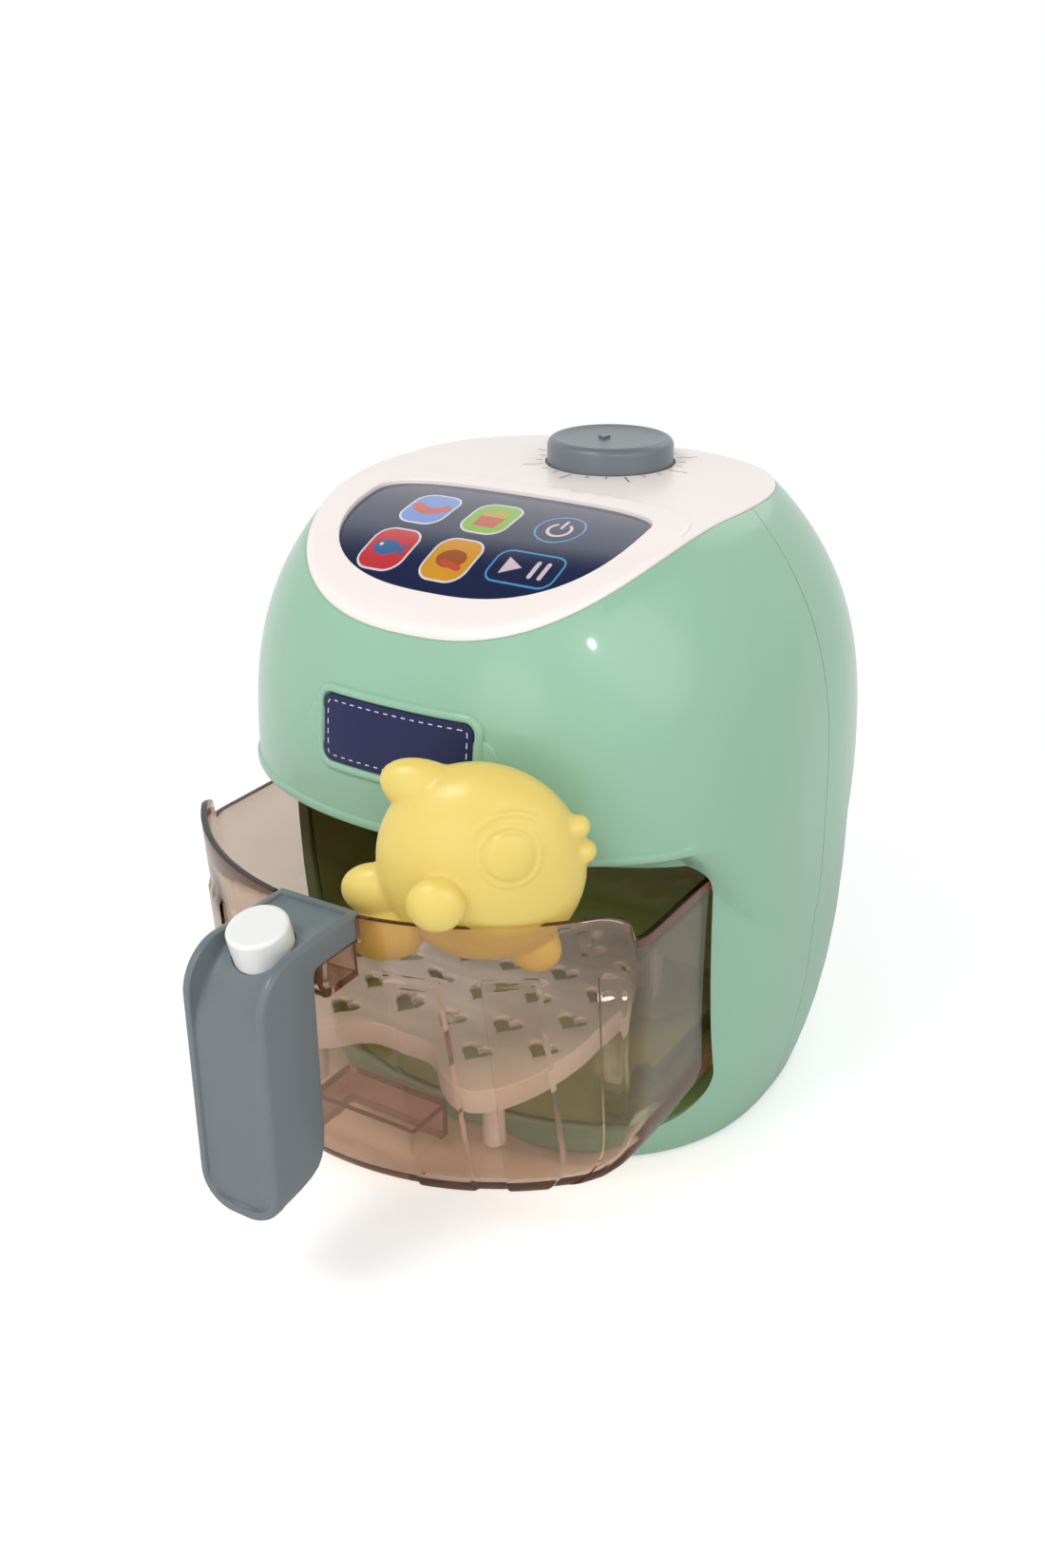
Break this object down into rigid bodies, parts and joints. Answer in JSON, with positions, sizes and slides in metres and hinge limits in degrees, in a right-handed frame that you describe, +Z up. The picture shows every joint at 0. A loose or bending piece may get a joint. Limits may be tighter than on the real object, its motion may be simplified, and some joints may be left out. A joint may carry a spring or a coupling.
{
  "type": "toy air fryer",
  "caption": "Toy air fryer in mint green with a white top, a timer knob, a clear drawer with a grey handle, a crisper tray with heart holes and a yellow toy fish.",
  "frame": {"origin": "middle of the base plate's flat underside", "axes": "+Z up, -Y to the front, where the drawer opens, +X to the right as seen from the front"},
  "size_m": [0.1696, 0.2313, 0.1885],
  "materials": {
    "mint_shell": "smooth gloss",
    "white_cover": "satin gloss",
    "navy_gloss": "high gloss",
    "slate_plastic": "fine satin",
    "white_plastic": "smooth gloss",
    "rose_clear": "clear tinted plastic",
    "pale_plastic": "satin",
    "yellow_vinyl": "soft satin vinyl",
    "bay_plastic": "satin",
    "black_plastic": "satin",
    "green_board": "solder mask",
    "amber_lens": "smooth gloss",
    "cell_wrap": "printed wrap",
    "steel": "plated"
  },
  "bodies": {
    "housing": {"front_shell": "mint_shell", "badge_plate": "navy_gloss", "back_shell": "mint_shell", "speaker": "black_plastic", "top_cover": "white_cover", "display_panel": "navy_gloss", "touch_board": "green_board", "timer_switch": "white_plastic", "base_plate": "mint_shell", "base_screw_1": "steel", "base_screw_2": "steel", "base_screw_3": "steel", "base_screw_4": "steel", "battery_door": "mint_shell", "battery_box": "black_plastic", "cell_1": "cell_wrap", "cell_2": "cell_wrap", "cell_3": "cell_wrap", "battery_contact_1": "steel", "battery_contact_2": "steel", "battery_contact_3": "steel", "battery_spring_1": "steel", "battery_spring_2": "steel", "battery_spring_3": "steel", "bay_liner": "bay_plastic", "runner_left": "bay_plastic", "runner_right": "bay_plastic", "bay_lamp": "amber_lens"},
    "timer": {"timer_knob": "slate_plastic", "knob_retainer": "steel"},
    "drawer": {"drawer_tub": "rose_clear", "handle_grip": "slate_plastic", "handle_back_cover": "slate_plastic", "handle_screw_1": "steel", "handle_screw_2": "steel", "button_spring": "steel"},
    "button": {"release_button": "white_plastic"},
    "tray": {"crisper_tray": "pale_plastic"},
    "fish": {"toy_fish": "yellow_vinyl"}
  },
  "joints": [
    {"name": "drawer_slide", "type": "slide", "parent": "housing", "child": "drawer", "axis": [0, -1, 0], "range_m": [0, 0.04]},
    {"name": "timer_turn", "type": "hinge", "parent": "housing", "child": "timer", "pos_m": [0, 0.026, 0.1851], "axis": [0, 0, 1], "range_deg": [-135, 135]},
    {"name": "button_press", "type": "slide", "parent": "drawer", "child": "button", "axis": [0, 0.2588, -0.9659], "range_m": [0, 0.0025], "stiffness_N_per_m": 400, "springref_m": -0.002, "deforming": ["button_spring"]},
    {"name": "tray_lift", "type": "slide", "parent": "drawer", "child": "tray", "axis": [0, 0, 1], "range_m": [0, 0.03]},
    {"name": "fish_lift", "type": "slide", "parent": "drawer", "child": "fish", "axis": [0, 0, 1], "range_m": [0, 0.1]}
  ]
}
